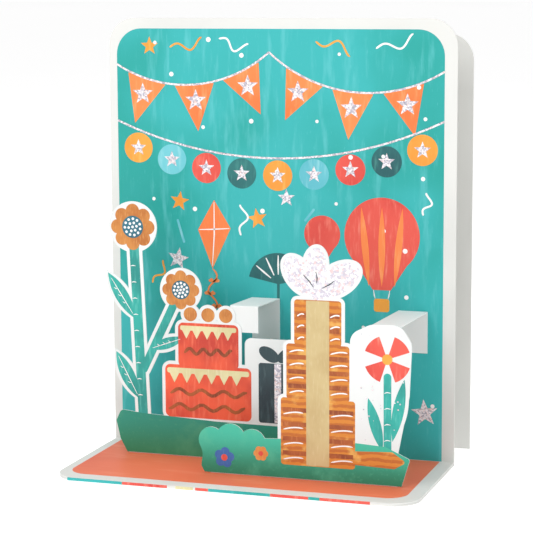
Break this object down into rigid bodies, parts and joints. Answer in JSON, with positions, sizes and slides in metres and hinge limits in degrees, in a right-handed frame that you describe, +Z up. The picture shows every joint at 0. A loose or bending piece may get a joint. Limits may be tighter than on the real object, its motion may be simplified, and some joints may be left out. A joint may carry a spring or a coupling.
{
  "type": "pop up card",
  "caption": "Standing pop-up card: upright picture panel, two-ply base, leaf behind, and two cut-out layers held by folded straps.",
  "frame": {"origin": "middle of the card's footprint on the surface it stands on", "axes": "+X to the right along the picture panel, -Y the side of the base with the cut-out layers, +Z up"},
  "size_m": [0.165, 0.1095, 0.2009],
  "materials": {
    "base_coral_field": "matt",
    "edge_coral": "matt",
    "edge_cream": "matt",
    "edge_teal": "matt",
    "folded_card": "matt",
    "front_bands_brown": "matt",
    "front_bank_green": "matt",
    "front_bow_glitter": "matt",
    "front_flower_blue": "matt",
    "front_flower_orange": "matt",
    "front_gifts_ochre": "matt",
    "front_layer": "matt",
    "front_ribbon_cream": "matt",
    "front_stems_teal": "matt",
    "front_wheel_coral": "matt",
    "front_wheel_hub": "matt",
    "glitter_spots": "matt",
    "glitter_stars": "matt",
    "glitter_strings": "matt",
    "left_strap": "matt",
    "panel_balloon_gores": "matt",
    "panel_coral": "matt",
    "panel_dark_teal": "matt",
    "panel_light_blue": "matt",
    "panel_mustard": "matt",
    "panel_orange": "matt",
    "panel_teal_field": "matt",
    "rear_bank_green": "matt",
    "rear_box_slate": "matt",
    "rear_cake_coral": "matt",
    "rear_centres_dark": "matt",
    "rear_heads_ochre": "matt",
    "rear_icing_cream": "matt",
    "rear_layer": "matt",
    "rear_ribbon_white": "matt",
    "rear_stems_teal": "matt",
    "right_strap": "matt"
  },
  "bodies": {
    "root": {"base_coral_field": "base_coral_field", "edge_coral": "edge_coral", "edge_cream": "edge_cream", "edge_teal": "edge_teal", "folded_card": "folded_card", "front_bands_brown": "front_bands_brown", "front_bank_green": "front_bank_green", "front_bow_glitter": "front_bow_glitter", "front_flower_blue": "front_flower_blue", "front_flower_orange": "front_flower_orange", "front_gifts_ochre": "front_gifts_ochre", "front_layer": "front_layer", "front_ribbon_cream": "front_ribbon_cream", "front_stems_teal": "front_stems_teal", "front_wheel_coral": "front_wheel_coral", "front_wheel_hub": "front_wheel_hub", "glitter_spots": "glitter_spots", "glitter_stars": "glitter_stars", "glitter_strings": "glitter_strings", "left_strap": "left_strap", "panel_balloon_gores": "panel_balloon_gores", "panel_coral": "panel_coral", "panel_dark_teal": "panel_dark_teal", "panel_light_blue": "panel_light_blue", "panel_mustard": "panel_mustard", "panel_orange": "panel_orange", "panel_teal_field": "panel_teal_field", "rear_bank_green": "rear_bank_green", "rear_box_slate": "rear_box_slate", "rear_cake_coral": "rear_cake_coral", "rear_centres_dark": "rear_centres_dark", "rear_heads_ochre": "rear_heads_ochre", "rear_icing_cream": "rear_icing_cream", "rear_layer": "rear_layer", "rear_ribbon_white": "rear_ribbon_white", "rear_stems_teal": "rear_stems_teal", "right_strap": "right_strap"}
  },
  "joints": []
}
